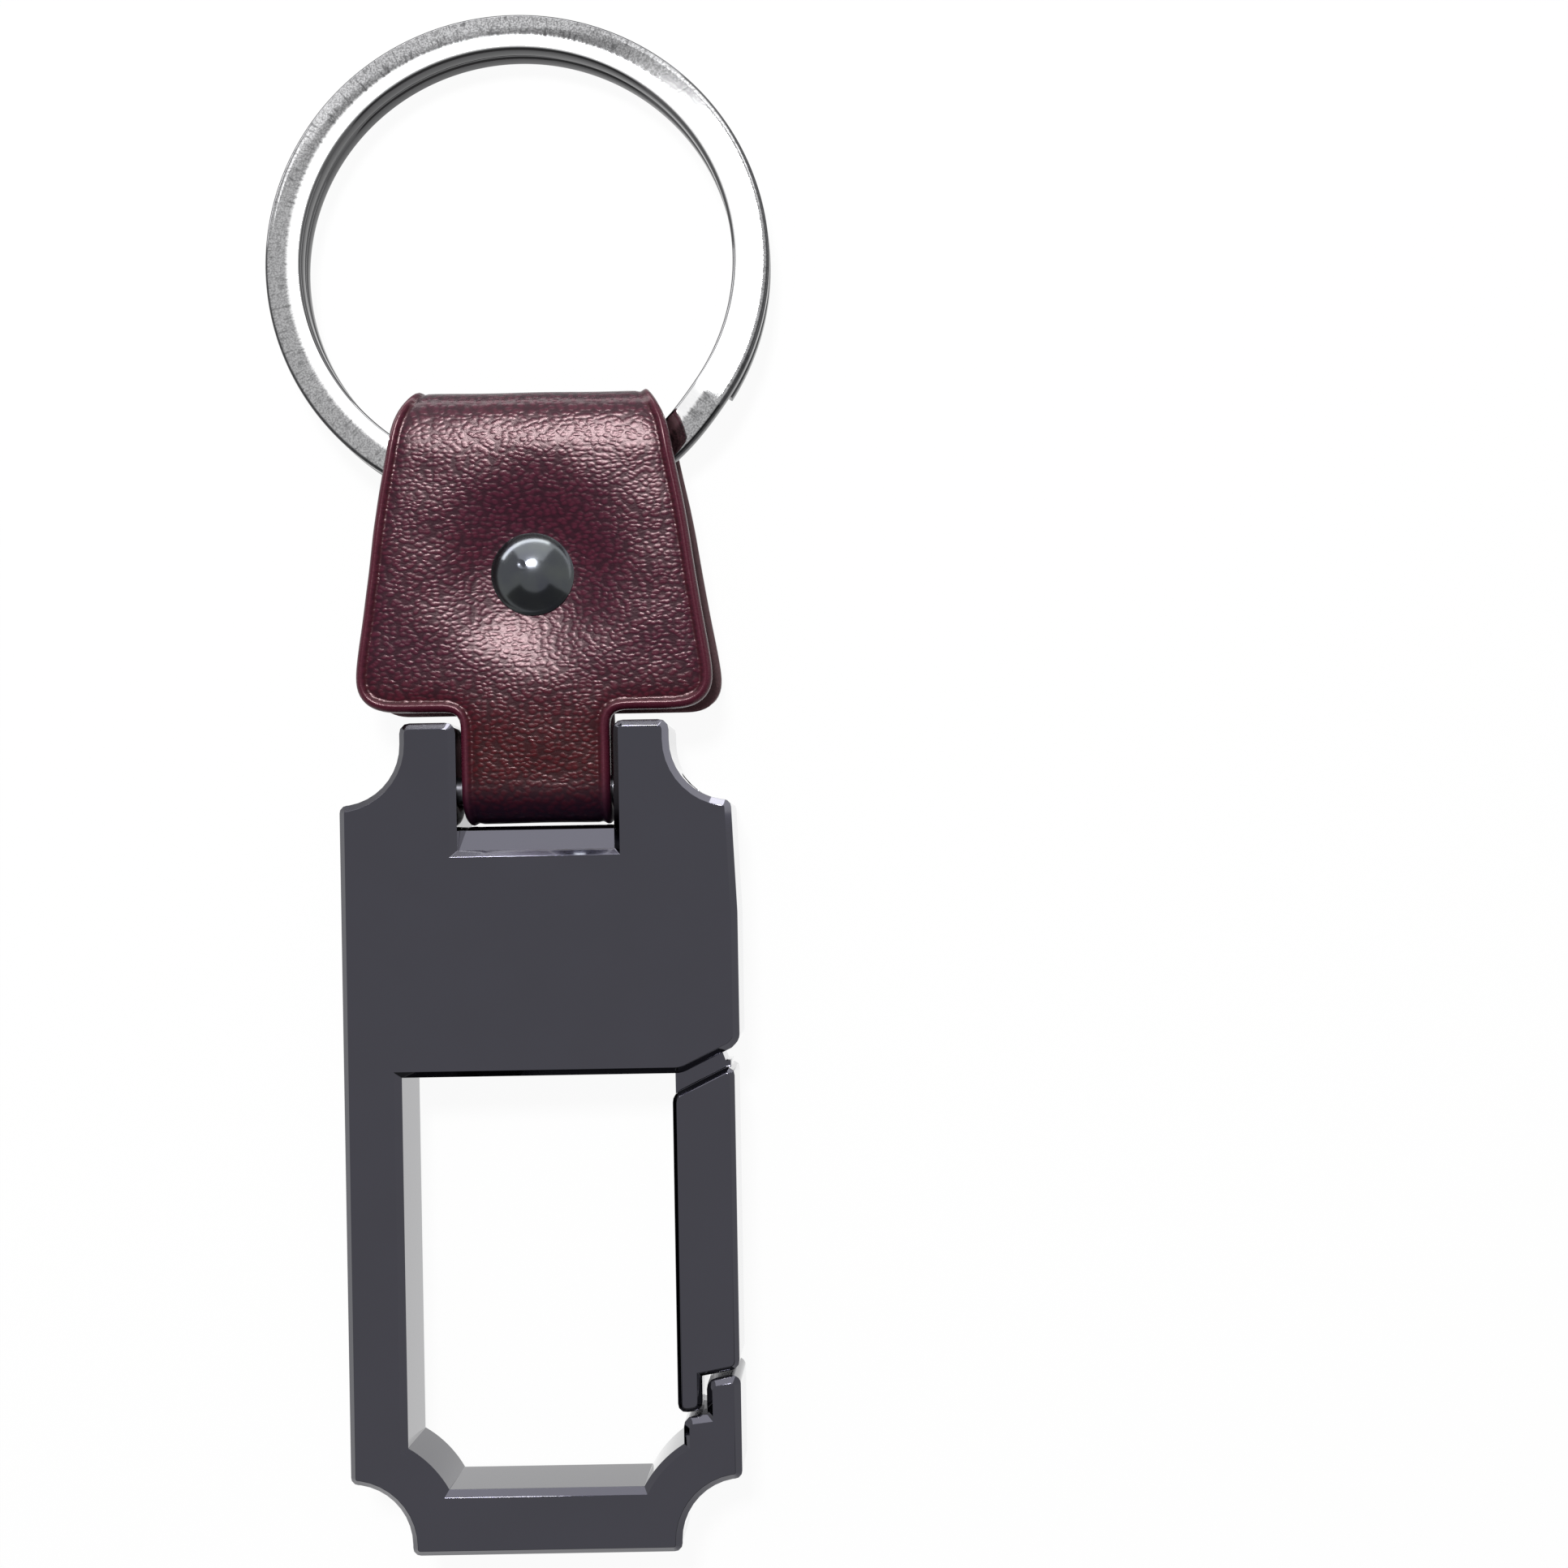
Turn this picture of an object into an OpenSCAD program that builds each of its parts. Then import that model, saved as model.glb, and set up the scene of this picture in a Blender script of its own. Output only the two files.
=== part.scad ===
// Leather keychain: a flat metal snap hook, a folded leather strap and a split ring.
// It lies on its back. X is across, Y is along towards the ring, Z is up through the thickness.
// The origin is on the rear face, at the centre of the hook's solid panel. Millimetres.

/* [Body] */
// Width of the metal body
body_w = 24.4; // [22:0.2:28]
// Thickness of the metal body
body_t = 5.2; // [5:0.1:6]
// Height of the solid panel, from the slot's floor to the top of the window
panel_h = 14.1; // [13:0.1:18]
// Width of the slot between the ears
slot_w = 9.8; // [9.6:0.1:11]
// Depth of the slot between the ears
slot_depth = 8; // [7.6:0.1:8.6]
// How far the slot's floor swells up between the ears
ridge_rise = 1.55; // [0.6:0.05:1.55]
// Radius of the quarter-round notches at the corners
notch_r = 3.8; // [3:0.1:4.2]
// Straight part of an ear above its notch
ear_straight = 1.3; // [0.8:0.1:2]
// Height of the window, which grows where the gate's reach needs a longer one
window_h = 25.7; // [22:0.1:32]
// Width of the closed rail beside the window
rail_w = 3.6; // [3.2:0.1:4]
// Height of the bottom rail under the window
foot_h = 4.1; // [3.8:0.1:5]
// Straight part of the foot under its notch
foot_straight = 0.7; // [0.5:0.1:1.2]
// Metal left between a bottom notch and the window's corner
corner_land = 3.2; // [2.8:0.1:3.6]
// How far the cheek beside the gate's hinge stands out
cheek_bulge = 0.3; // [0.1:0.05:0.6]
// Width of the bevel along every outer edge
edge_bevel = 0.4; // [0.2:0.05:0.5]
// How far each outer corner is rounded, along its edges
corner_cut = 0.3; // [0.1:0.05:0.5]

/* [Gate] */
// Width of the gate
gate_w = 3.9; // [3.6:0.1:4]
// Distance from the hinge pin to the gate's tip
gate_reach = 33; // [32:0.1:33.2]
// Width of the tongue at the gate's tip
tongue_w = 1.55; // [1.4:0.05:1.7]
// How far the tongue stands past the gate's ledge
tongue_l = 2.13; // [1.6:0.05:2.6]
// Running gap between the gate's tip and the nose
nose_gap = 0.27; // [0.25:0.01:0.45]
// Gap between the panel's slope and the gate's top
gate_gap = 0.95; // [0.8:0.05:1.2]
// Slope of the panel's lower corner and of the gate's top
slope_angle = 26; // [22:1:28]
// Lean of the gate's shank inside the panel
shank_lean = 20.5; // [20:0.5:22]
// Radius of the shank's hub
hub_r = 1.6; // [1.4:0.05:1.7]
// Thickness of the shank
shank_t = 2.5; // [2:0.1:2.7]
// How far the gate swings in
open_angle = 18; // [10:1:18]
// Bevel along the gate's edges
gate_bevel = 0.3; // [0.15:0.05:0.4]

/* [Hinge pin] */
// Distance of the pin from the body's middle line
pin_x = 5.7; // [5.4:0.1:6]
// Distance of the pin below the slot's floor
pin_drop = 2.4; // [2.3:0.05:3]
// Outer radius of the hollow pin
pin_r = 0.5; // [0.4:0.05:0.6]
// Radius of the hole in the pin
pin_hole_r = 0.25; // [0.15:0.05:0.3]
// Radius of the recess round the pin's end at the back
recess_r = 0.85; // [0.75:0.05:1]
// Depth of that recess
recess_depth = 0.5; // [0.3:0.05:0.6]

/* [Spring] */
// Wire of the gate spring
spring_wire_d = 0.35; // [0.25:0.05:0.4]
// Outer diameter of the gate spring
spring_od = 2.1; // [1.8:0.1:2.3]
// Curls of the gate spring
spring_curls = 7; // [4:1:8]
// Distance of the spring below the slot's floor
spring_drop = 8; // [7.5:0.1:9]
// Length of the drilled channel, from the body's middle line
channel_l = 4.3; // [3:0.1:7]

/* [Strap bar] */
// Radius of the bar that the strap goes round
bar_r = 0.9; // [0.8:0.05:1]
// Distance of the bar below the ears' tops
bar_drop = 4.2; // [4:0.1:4.4]
// How far the bar goes into the left ear
bar_grip = 2.5; // [1.5:0.1:3]

/* [Leather strap] */
// Thickness of the leather
leather_t = 1.1; // [1:0.05:1.2]
// Width of the tongue that goes round the bar
strap_tongue_w = 9.3; // [8:0.1:9.4]
// Width across the fold at the ring's end
fold_w = 14.6; // [13:0.1:16]
// Width at the bottom of the panel
skirt_w = 22.3; // [20:0.1:24]
// Width just above the rivet
waist_w = 19.6; // [18:0.1:21]
// Distance from the bar to the bottom edge of the panel
shoulder_rise = 4.9; // [4.9:0.1:5.6]
// Distance from the bar to the rivet
rivet_rise = 13.47; // [13:0.1:15]
// Distance from the rivet to the top of the fold
fold_rise = 11.73; // [11.4:0.1:13]
// Outer radius of the fold
fold_r = 2.5; // [2.45:0.05:2.55]

/* [Rivet] */
// Radius of the domed caps
cap_r = 2.6; // [2.2:0.1:2.8]
// Height of the front dome
cap_h = 1.2; // [0.8:0.1:1.6]
// Height of the rear dome
base_h = 0.85; // [0.6:0.05:0.9]
// Outer radius of the hollow post
post_r = 1.2; // [1:0.05:1.3]
// Radius of the stud inside the post
stud_r = 0.65; // [0.5:0.05:0.8]

/* [Split ring] */
// Outer diameter of the ring
ring_d = 32; // [28:0.5:33]
// Width of the flat wire, towards the ring's middle
wire_w = 2.35; // [2:0.05:2.6]
// Thickness of the flat wire
wire_t = 1.06; // [0.8:0.02:1.1]
// Gap between the two turns
turn_gap = 0.08; // [0.04:0.01:0.12]
// Distance from the rivet to the ring's nearest edge
ring_rise = 4.1; // [4:0.1:4.6]
// How far the ring sits to the left of the middle line
ring_shift = 0.9; // [0:0.1:1.5]
// Place of the crossover, clockwise from the right
cross_at = 35; // [30:1:45]
// Length of the crossover, in degrees
cross_l = 22; // [16:1:30]

/* [Hidden] */
$fn = 48;

// Clearances and overruns
cut_over = 1;
press_clear = 0.01;
run_clear = 0.05;
face_clear = 0.1;
pocket_clear = 0.3;
side_clear = 0.15;
table_clear = 0.02;
arc_steps = 10;
corner_turn_share = 0.34;
corner_edge_share = 0.45;
least_turn = 0.0001;

// Places of the body
mid_z = body_t / 2;
half_w = body_w / 2;
floor_y = panel_h / 2;
window_top = -panel_h / 2;
ear_top = floor_y + slot_depth;
ear_half = half_w - notch_r;
notch_y = ear_top - ear_straight;
nose_h = 4.3;
window_bottom = min(window_top - window_h, floor_y - pin_drop - gate_reach - nose_h);
body_bottom = window_bottom - foot_h;
foot_y = body_bottom + foot_straight;
ridge_root = 0.5;
ridge_shares = [[0, 0.92], [0.82, 0.6], [0.95, 0.42], [1, 0.2]];
land_r = notch_r + corner_land;
land_side_angle = acos(rail_w / land_r);
land_foot_angle = asin((window_bottom - foot_y) / land_r);

// Places of the gate, the nose and the slope
pin = [pin_x, floor_y - pin_drop];
gate_inset = 0.05;
gate_right = half_w - gate_inset;
gate_left = gate_right - gate_w;
tongue_right = gate_left + tongue_w;
step_x = tongue_right + nose_gap;
ledge_reach = gate_reach - tongue_l;
nose_round = 0.5;
cheek_round = 0.5;
cheek_run = 7;
cheek_from_y = notch_y - notch_r - cheek_run;
slope_setback = 0.6;
slope_start = [gate_left + slope_setback, window_top];
slope_end_x = half_w + cheek_bulge - cheek_round;
gate_body_t = body_t - 2 * face_clear;
pocket_t = shank_t + 2 * side_clear;
heel_in = 0.1;
heel_rise = 0.65;
heel_root = 2;
shank_l = (pin.y - window_top + heel_root) / cos(shank_lean);
pin_end_wall = 0.7;
pin_stand_back = 0.25;

// Places of the spring
spring_y = floor_y - spring_drop;
channel_r = spring_od / 2 + side_clear;
seat_drop = pin.y - spring_y;
seat_depth = 0.4;
seat_x = pin.x + seat_drop * tan(shank_lean) - hub_r / cos(shank_lean) + seat_depth;
seat_h = spring_od + 2 * side_clear;
spring_l = seat_x + channel_l - 2 * face_clear;

// Places of the strap
bar_y = ear_top - bar_drop;
bar_past = 0.47;
wrap_r = bar_r + run_clear + leather_t / 2;
shoulder_y = bar_y + shoulder_rise;
rivet_y = bar_y + rivet_rise;
fold_top = rivet_y + fold_rise;
fold_y = fold_top - fold_r;
fold_mid_r = fold_r - leather_t / 2;
pinch = 0.02;
layer = leather_t - pinch;
lining_past = 1.9;
lining_flat = 4.7;
cap_margin = 0.05;
open_run = 1.45;
post_clear = 0.05;
corner_run = 1.9;
corner_shares = [[0.5, 0.17], [0.12, 0.5], [0, 1]];
shoulder_past = 0.48;
fold_corner = 1.5;
fold_corner_in = 1;
fold_side_w = fold_w + 2 * fold_corner_in;
seat_clear = 0.02;
front_face = layer + leather_t / 2 + seat_clear;

// Places of the ring
ring_r = ring_d / 2;
ring_stack = 2 * wire_t + turn_gap;
wire_corner = 0.22;
ring_near = rivet_y + ring_rise;
ring_y = ring_near + ring_r;
pivot_in = 1.3;
pivot_y = ring_near + pivot_in;
ring_tilt = asin((mid_z - ring_stack / 2 - table_clear) / (ring_near + ring_d - pivot_y));
ring_step = 6;
end_gap = 2;

// Points along an arc, both ends included
function arc(c, r, from, to, steps = arc_steps) =
    [for (i = [0 : steps]) let (a = from + (to - from) * i / steps) c + r * [cos(a), sin(a)]];

// A smooth step from 0 to 1
function ease(s) = s <= 0 ? 0 : s >= 1 ? 1 : s * s * (3 - 2 * s);

// A direction as a vector of length 1
function unit(v) = v / norm(v);

// Direction square to the edge from a to b, to its left
function edge_normal(a, b) = let (e = unit(b - a)) [-e.y, e.x];

// An outline drawn in by d, with mitred corners
function inset(pts, d) = [for (i = [0 : len(pts) - 1])
    let (p = pts[(i + len(pts) - 1) % len(pts)], q = pts[i], s = pts[(i + 1) % len(pts)],
         n1 = edge_normal(p, q), n2 = edge_normal(q, s))
    q + d * (n1 + n2) / (1 + n1 * n2)];

// An outline with its outer corners rounded, along less than half of the shorter edge
function rounded(pts, cut) = [for (i = [0 : len(pts) - 1])
    let (p = pts[(i + len(pts) - 1) % len(pts)], q = pts[i], s = pts[(i + 1) % len(pts)],
         back = unit(p - q), on = unit(s - q), turn = cross(-back, on),
         c = min(cut, norm(p - q) * corner_edge_share, norm(s - q) * corner_edge_share))
    each turn > corner_turn_share
        ? [for (t = [0 : 1 / 3 : 1]) q + c * (back * (1 - t) * (1 - t) + on * t * t)]
        : [q]];

// How far the way from a over b to c turns to the left, as twice the area of their triangle
function turn(a, b, c) = cross(b - a, c - a);

// Whether p lies in the triangle a, b, c or on its edges
function covers(a, b, c, p) = turn(a, b, p) >= 0 && turn(b, c, p) >= 0 && turn(c, a, p) >= 0;

// The first corner of a loop of point numbers that can be cut off it as a triangle
function free_corner(pts, loop, i = 0) =
    let (n = len(loop), a = loop[(i + n - 1) % n], b = loop[i], c = loop[(i + 1) % n],
         others = [for (k = loop) if (k != a && k != b && k != c) pts[k]])
    turn(pts[a], pts[b], pts[c]) > least_turn
        && len([for (p = others) if (covers(pts[a], pts[b], pts[c], p)) p]) == 0
    ? i : free_corner(pts, loop, i + 1);

// Triangles that fill an outline, cut off it corner by corner
function filled(pts, loop, found = []) =
    let (n = len(loop), i = n > 3 ? free_corner(pts, loop) : 1,
         more = [each found, [loop[(i + n - 1) % n], loop[i], loop[(i + 1) % n]]])
    n > 3 ? filled(pts, [for (k = [0 : n - 1]) if (k != i) loop[k]], more) : more;

// A closed skin over rings of points that all have as many points. Each end is one face, or faces
module skin(rings, end_faces) {
    n = len(rings[0]);
    top = (len(rings) - 1) * n;
    sides = [for (k = [0 : len(rings) - 2], i = [0 : n - 1])
        let (a = k * n + i, b = k * n + (i + 1) % n)
        each [[a, a + n, b + n], [a, b + n, b]]];
    near = is_undef(end_faces) ? [[for (i = [0 : n - 1]) i]] : end_faces;
    far = [for (f = near) [for (i = [len(f) - 1 : -1 : 0]) top + f[i]]];
    polyhedron([for (r = rings) each r], concat(sides, near, far));
}

// A flat plate whose outer edges are bevelled on both faces
module bevelled_plate(outline, t, bevel) {
    face = rounded(inset(outline, bevel), corner_cut);
    wall = inset(face, -bevel);
    levels = [[face, 0], [wall, bevel], [wall, t - bevel], [face, t]];
    skin([for (l = levels) [for (p = l[0]) [p.x, p.y, l[1]]]],
        filled(face, [for (i = [0 : len(face) - 1]) i]));
}

// The point at x that lies r from the hinge pin, towards the foot
function at_reach(r, x) = [x, pin.y - sqrt(r * r - (x - pin.x) * (x - pin.x))];

// Height of the slope at x
function slope_y(x) = slope_start.y + (x - slope_start.x) * tan(slope_angle);

// The body's outline, clockwise from the slot's floor: right ear, cheek, slope, window, nose and foot
nose_tip = at_reach(ledge_reach + nose_gap, half_w - nose_round);
body_outline = concat(
    [[slot_w / 2, floor_y], [slot_w / 2, ear_top], [ear_half, ear_top]],
    arc([half_w, notch_y], notch_r, 180, 270),
    [[half_w + cheek_bulge, cheek_from_y],
     [half_w + cheek_bulge, slope_y(slope_end_x) + cheek_round],
     [slope_end_x, slope_y(slope_end_x)], slope_start, [rail_w - half_w, window_top]],
    arc([-half_w, foot_y], land_r, land_side_angle, land_foot_angle),
    arc([half_w, foot_y], land_r, 180 - land_foot_angle, 180 - land_side_angle),
    [at_reach(gate_reach + nose_gap, half_w - rail_w), at_reach(gate_reach + nose_gap, step_x),
     at_reach(ledge_reach + nose_gap, step_x), nose_tip, [half_w, nose_tip.y - nose_round / 2]],
    arc([half_w, foot_y], notch_r, 90, 180),
    [[ear_half, body_bottom], [-ear_half, body_bottom]],
    arc([-half_w, foot_y], notch_r, 0, 90),
    arc([-half_w, notch_y], notch_r, 270, 360),
    [[-ear_half, ear_top], [-slot_w / 2, ear_top], [-slot_w / 2, floor_y]]);

gate_outline = [
    [gate_left, slope_y(gate_left) - gate_gap / cos(slope_angle)],
    at_reach(gate_reach, gate_left), at_reach(gate_reach, tongue_right),
    at_reach(ledge_reach, tongue_right), at_reach(ledge_reach, gate_right),
    [gate_right, slope_y(gate_right) - gate_gap / cos(slope_angle)]];

function reversed(pts) = [for (i = [len(pts) - 1 : -1 : 0]) pts[i]];

// The flat room that the shank needs, from closed to open
module shank_room() {
    room_r = hub_r + pocket_clear;
    room_l = shank_l + gate_w / 2;
    shut = shank_lean;
    open = shank_lean - open_angle;
    translate(pin) circle(room_r);
    polygon([
        pin + room_r * [cos(shut), sin(shut)],
        pin - room_r * [cos(open), sin(open)],
        pin - room_r * [cos(open), sin(open)] + room_l * [sin(open), -cos(open)],
        pin + room_r * [cos(shut), sin(shut)] + room_l * [sin(shut), -cos(shut)]]);
}

// The swell of the slot's floor: its section across the plate, drawn from ear to ear
module slot_ridge() {
    half = [for (s = ridge_shares) [s.x * ridge_rise, s.y * (mid_z - edge_bevel)]];
    section = concat([[-ridge_root, half[0].y]], half,
        [for (i = [len(half) - 1 : -1 : 0]) [half[i].x, -half[i].y]], [[-ridge_root, -half[0].y]]);
    translate([-slot_w / 2 - ridge_root, floor_y, mid_z]) rotate([90, 0, 90])
        linear_extrude(slot_w + 2 * ridge_root) polygon(section);
}

module carabiner_body() {
    color([0.27, 0.26, 0.29]) difference() {
        union() {
            bevelled_plate(reversed(body_outline), body_t, edge_bevel);
            slot_ridge();
        }
        translate([0, 0, mid_z - pocket_t / 2]) linear_extrude(pocket_t) shank_room();
        translate([-channel_l, spring_y, mid_z]) rotate([0, 90, 0])
            cylinder(h = channel_l + seat_x, r = channel_r);
        translate([pin.x, pin.y, 0]) {
            cylinder(h = body_t - pin_end_wall, r = pin_r + press_clear);
            translate([0, 0, -cut_over]) cylinder(h = recess_depth + cut_over, r = recess_r);
        }
        translate([-slot_w / 2 - bar_grip, bar_y, mid_z]) rotate([0, 90, 0])
            cylinder(h = body_w, r = bar_r + press_clear);
    }
}

// The shank: a hub and a leaning bar that goes down into the gate, cut off short of the gate's right side
module shank() {
    side_x = gate_right - gate_bevel;
    difference() {
        translate([pin.x, pin.y, mid_z - shank_t / 2]) linear_extrude(shank_t) {
            circle(hub_r);
            rotate(shank_lean) translate([-hub_r, -shank_l]) square([2 * hub_r, shank_l]);
        }
        translate([side_x, pin.y - shank_l - hub_r, 0]) cube([gate_w + shank_l, shank_l + 2 * hub_r, body_t]);
    }
}

// The gate: a bevelled bar with its shank, whose hub turns on the pin and whose flat takes the spring.
// The shank widens to a heel where it comes out under the panel
module gate() {
    color([0.27, 0.26, 0.29]) difference() {
        union() {
            translate([0, 0, face_clear]) bevelled_plate(gate_outline, gate_body_t, gate_bevel);
            shank();
            translate([gate_left + heel_in, window_top - heel_root, mid_z - shank_t / 2])
                cube([gate_w - heel_in - gate_bevel, heel_root + heel_rise, shank_t]);
        }
        translate([pin.x, pin.y, 0]) cylinder(h = body_t, r = pin_r + run_clear);
        translate([seat_x - hub_r, spring_y - seat_h / 2, 0]) cube([hub_r, seat_h, body_t]);
    }
}

module gate_pin() {
    color([0.72, 0.71, 0.7]) translate([pin.x, pin.y, pin_stand_back]) difference() {
        cylinder(h = body_t - pin_end_wall - pin_stand_back - run_clear, r = pin_r);
        translate([0, 0, -cut_over]) cylinder(h = recess_depth + 2 * cut_over, r = pin_hole_r);
    }
}

// The spring's middle line, from the channel's end to the flat on the shank
spring_r = (spring_od - spring_wire_d) / 2;
spring_pitch = (spring_l - spring_wire_d) / spring_curls;
spring_sides = 6;
spring_rings = 8;
spring_x = -channel_l + face_clear + spring_wire_d / 2;
spring_path = [for (i = [0 : spring_curls * spring_rings]) let (a = i * 360 / spring_rings)
    [spring_x + spring_pitch * i / spring_rings, spring_y + spring_r * cos(a), mid_z + spring_r * sin(a)]];

// The least distance between points at least half a curl apart, less the wire
spring_gap = min([for (i = [0 : len(spring_path) - 1], j = [i + spring_rings / 2 : 1 : len(spring_path) - 1])
    norm(spring_path[i] - spring_path[j])]) - spring_wire_d;
echo(least_gap_of_gate_spring = spring_gap);

module gate_spring() {
    color([0.75, 0.75, 0.77]) skin([for (i = [0 : len(spring_path) - 1])
        let (a = i * 360 / spring_rings, out = [0, cos(a), sin(a)], side = [1, 0, 0])
        [for (k = [0 : spring_sides - 1]) let (b = -k * 360 / spring_sides)
            spring_path[i] + spring_wire_d / 2 * (out * cos(b) + side * sin(b))]]);
}

module strap_bar() {
    bar_from = -slot_w / 2 - bar_grip + press_clear;
    bar_to = ear_half + bar_past;
    color([0.5, 0.5, 0.52]) translate([bar_from, bar_y, mid_z]) rotate([0, 90, 0])
        cylinder(h = bar_to - bar_from, r = bar_r);
}

// A strip of even thickness along an open line of [y, height] points
function ribbon(path, t) = let (n = len(path) - 1,
    normals = [for (i = [0 : n]) edge_normal(path[max(i - 1, 0)], path[min(i + 1, n)])])
    concat([for (i = [0 : n]) path[i] + normals[i] * t / 2],
        [for (i = [n : -1 : 0]) path[i] - normals[i] * t / 2]);

// Height of the lining's middle line: it comes up from under the bar to the middle of the stack
lining_end = rivet_y - lining_flat;
function lining_h(y) = -wrap_r * ease((lining_end - y) / (lining_end - bar_y));

// Height of the front panel: level from the bar, pinched flat under the rivet, open round the ring
flat_half = cap_r + cap_margin;
function panel_h_at(y) = y < rivet_y
    ? layer + (wrap_r - layer) * ease((rivet_y - flat_half - y) / flat_half)
    : layer + (fold_mid_r - layer) * ease((y - rivet_y - flat_half) / open_run);

long_steps = 12;
short_steps = 8;
function along(from, to, steps) = [for (i = [0 : steps]) from + (to - from) * i / steps];
pinch_below = rivet_y - flat_half;
pinch_above = rivet_y + flat_half;
lining_path = concat([[rivet_y + lining_past, 0]],
    [for (y = along(lining_end, bar_y, long_steps)) [y, lining_h(y)]],
    arc([bar_y, 0], wrap_r, 270 - 180 / arc_steps, 90 + 180 / arc_steps));
open_ys = concat(along(pinch_above, pinch_above + open_run, short_steps), [fold_y]);
front_path = [for (y = concat(along(bar_y, pinch_below, long_steps), open_ys)) [y, panel_h_at(y)]];
back_path = concat(
    [for (y = reversed(open_ys)) [y, -panel_h_at(y)]],
    [for (y = along(lining_end, shoulder_y, long_steps)) [y, lining_h(y) - layer]]);

// The strip's outline seen from the front, anticlockwise from the tongue
strap_half = [
    [strap_tongue_w / 2, bar_y - wrap_r - leather_t],
    [strap_tongue_w / 2, shoulder_y],
    [ear_half + shoulder_past, shoulder_y],
    for (c = corner_shares) [skirt_w / 2 - corner_run * c.x, shoulder_y + corner_run * c.y],
    [waist_w / 2, rivet_y + flat_half],
    [fold_side_w / 2, fold_top - fold_corner],
    [fold_w / 2, fold_top]];

module leather_strap() {
    color([0.3, 0.13, 0.2]) difference() {
        intersection() {
            translate([0, 0, mid_z]) rotate([90, 0, 90]) linear_extrude(skirt_w, center = true) {
                polygon(ribbon(lining_path, leather_t));
                polygon(ribbon(concat(
                    arc([bar_y, 0], wrap_r, 90 + 360 / arc_steps, 90 + 180 / arc_steps, 1), front_path,
                    arc([fold_y, 0], fold_mid_r, 90 - 180 / arc_steps, -90 + 180 / arc_steps),
                    back_path), leather_t));
            }
            linear_extrude(body_t) polygon(concat(
                strap_half, [for (p = reversed(strap_half)) [-p.x, p.y]]));
        }
        translate([0, rivet_y, 0]) cylinder(h = body_t, r = post_r + post_clear);
    }
}

// A shallow dome of radius a and height h, flat side down
module dome(a, h) {
    ball_r = (a * a + h * h) / (2 * h);
    intersection() {
        translate([0, 0, h - ball_r]) sphere(ball_r);
        cylinder(h = h, r = a + cut_over);
    }
}

module rivet_cap() {
    color([0.28, 0.29, 0.3]) translate([0, rivet_y, mid_z + front_face]) {
        dome(cap_r, cap_h);
        translate([0, 0, -2 * front_face]) difference() {
            cylinder(h = 2 * front_face + press_clear, r = post_r);
            translate([0, 0, -cut_over]) cylinder(h = 2 * front_face + cut_over, r = stud_r + post_clear);
        }
    }
}

module rivet_base() {
    color([0.28, 0.29, 0.3]) translate([0, rivet_y, mid_z - front_face]) {
        rotate([180, 0, 0]) dome(cap_r, base_h);
        cylinder(h = 2 * front_face - post_clear, r = stud_r);
    }
}

// One turn lies on each level, and the wire steps from one level to the other at the crossover
turn = 360;
wire_run = 2 * turn - cross_l - 2 * end_gap;
function wire_z(u) = (ring_stack - wire_t) / 2 * (1 - 2 * ease((u + end_gap - turn + cross_l) / cross_l));
wire_section = let (w = wire_w / 2, t = wire_t / 2, c = wire_corner)
    [[w, -t + c], [w, t - c], [w - c, t], [c - w, t], [-w, t - c], [-w, -t + c], [c - w, -t], [w - c, -t]];

module split_ring() {
    wire_steps = ceil(wire_run / ring_step);
    color([0.78, 0.78, 0.8]) translate([-ring_shift, pivot_y, mid_z]) rotate([-ring_tilt, 0, 0])
        translate([0, ring_y - pivot_y, 0]) skin([for (i = [0 : wire_steps])
            let (u = wire_run * i / wire_steps, a = -cross_at - cross_l - end_gap - u, out = [cos(a), sin(a)])
            [for (s = wire_section) let (r = ring_r - wire_w / 2 + s.x)
                [r * out.x, r * out.y, wire_z(u) + s.y]]]);
}

carabiner_body();
gate();
gate_pin();
gate_spring();
strap_bar();
leather_strap();
rivet_cap();
rivet_base();
split_ring();
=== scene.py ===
"""A leather keychain, dressed for its picture. The hook's frame, its gate, the pin and the bar get their
plating. The leather strap, the rivet's heads, the split ring and the gate's spring are made here in full, in
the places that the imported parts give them. Sizes are in millimetres until they enter a mesh."""
import math

import bmesh
import bpy
import numpy as np
from mathutils import Matrix, Vector
from mathutils.geometry import delaunay_2d_cdt


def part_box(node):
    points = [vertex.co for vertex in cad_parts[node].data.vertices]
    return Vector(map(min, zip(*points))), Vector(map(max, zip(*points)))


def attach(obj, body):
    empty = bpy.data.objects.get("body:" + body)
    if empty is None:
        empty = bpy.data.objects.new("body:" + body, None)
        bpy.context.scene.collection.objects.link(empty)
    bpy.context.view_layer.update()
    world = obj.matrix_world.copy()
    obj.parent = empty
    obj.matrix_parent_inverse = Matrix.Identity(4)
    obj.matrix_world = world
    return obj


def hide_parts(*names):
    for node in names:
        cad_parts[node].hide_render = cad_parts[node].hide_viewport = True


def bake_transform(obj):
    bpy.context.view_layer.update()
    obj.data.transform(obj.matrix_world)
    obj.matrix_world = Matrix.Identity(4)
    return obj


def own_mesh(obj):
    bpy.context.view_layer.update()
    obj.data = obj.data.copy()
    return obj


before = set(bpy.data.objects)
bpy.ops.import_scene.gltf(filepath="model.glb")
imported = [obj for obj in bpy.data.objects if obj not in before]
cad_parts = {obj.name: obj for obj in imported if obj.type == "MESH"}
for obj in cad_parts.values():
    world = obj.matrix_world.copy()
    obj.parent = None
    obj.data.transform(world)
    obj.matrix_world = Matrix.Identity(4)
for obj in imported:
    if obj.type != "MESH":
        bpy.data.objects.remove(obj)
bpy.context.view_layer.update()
MM = 0.001
PLAN_UNIT = 100.0  # how many millimetres one unit of a UV map stands for
WELD = 0.0005  # points nearer than this are joined


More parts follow.
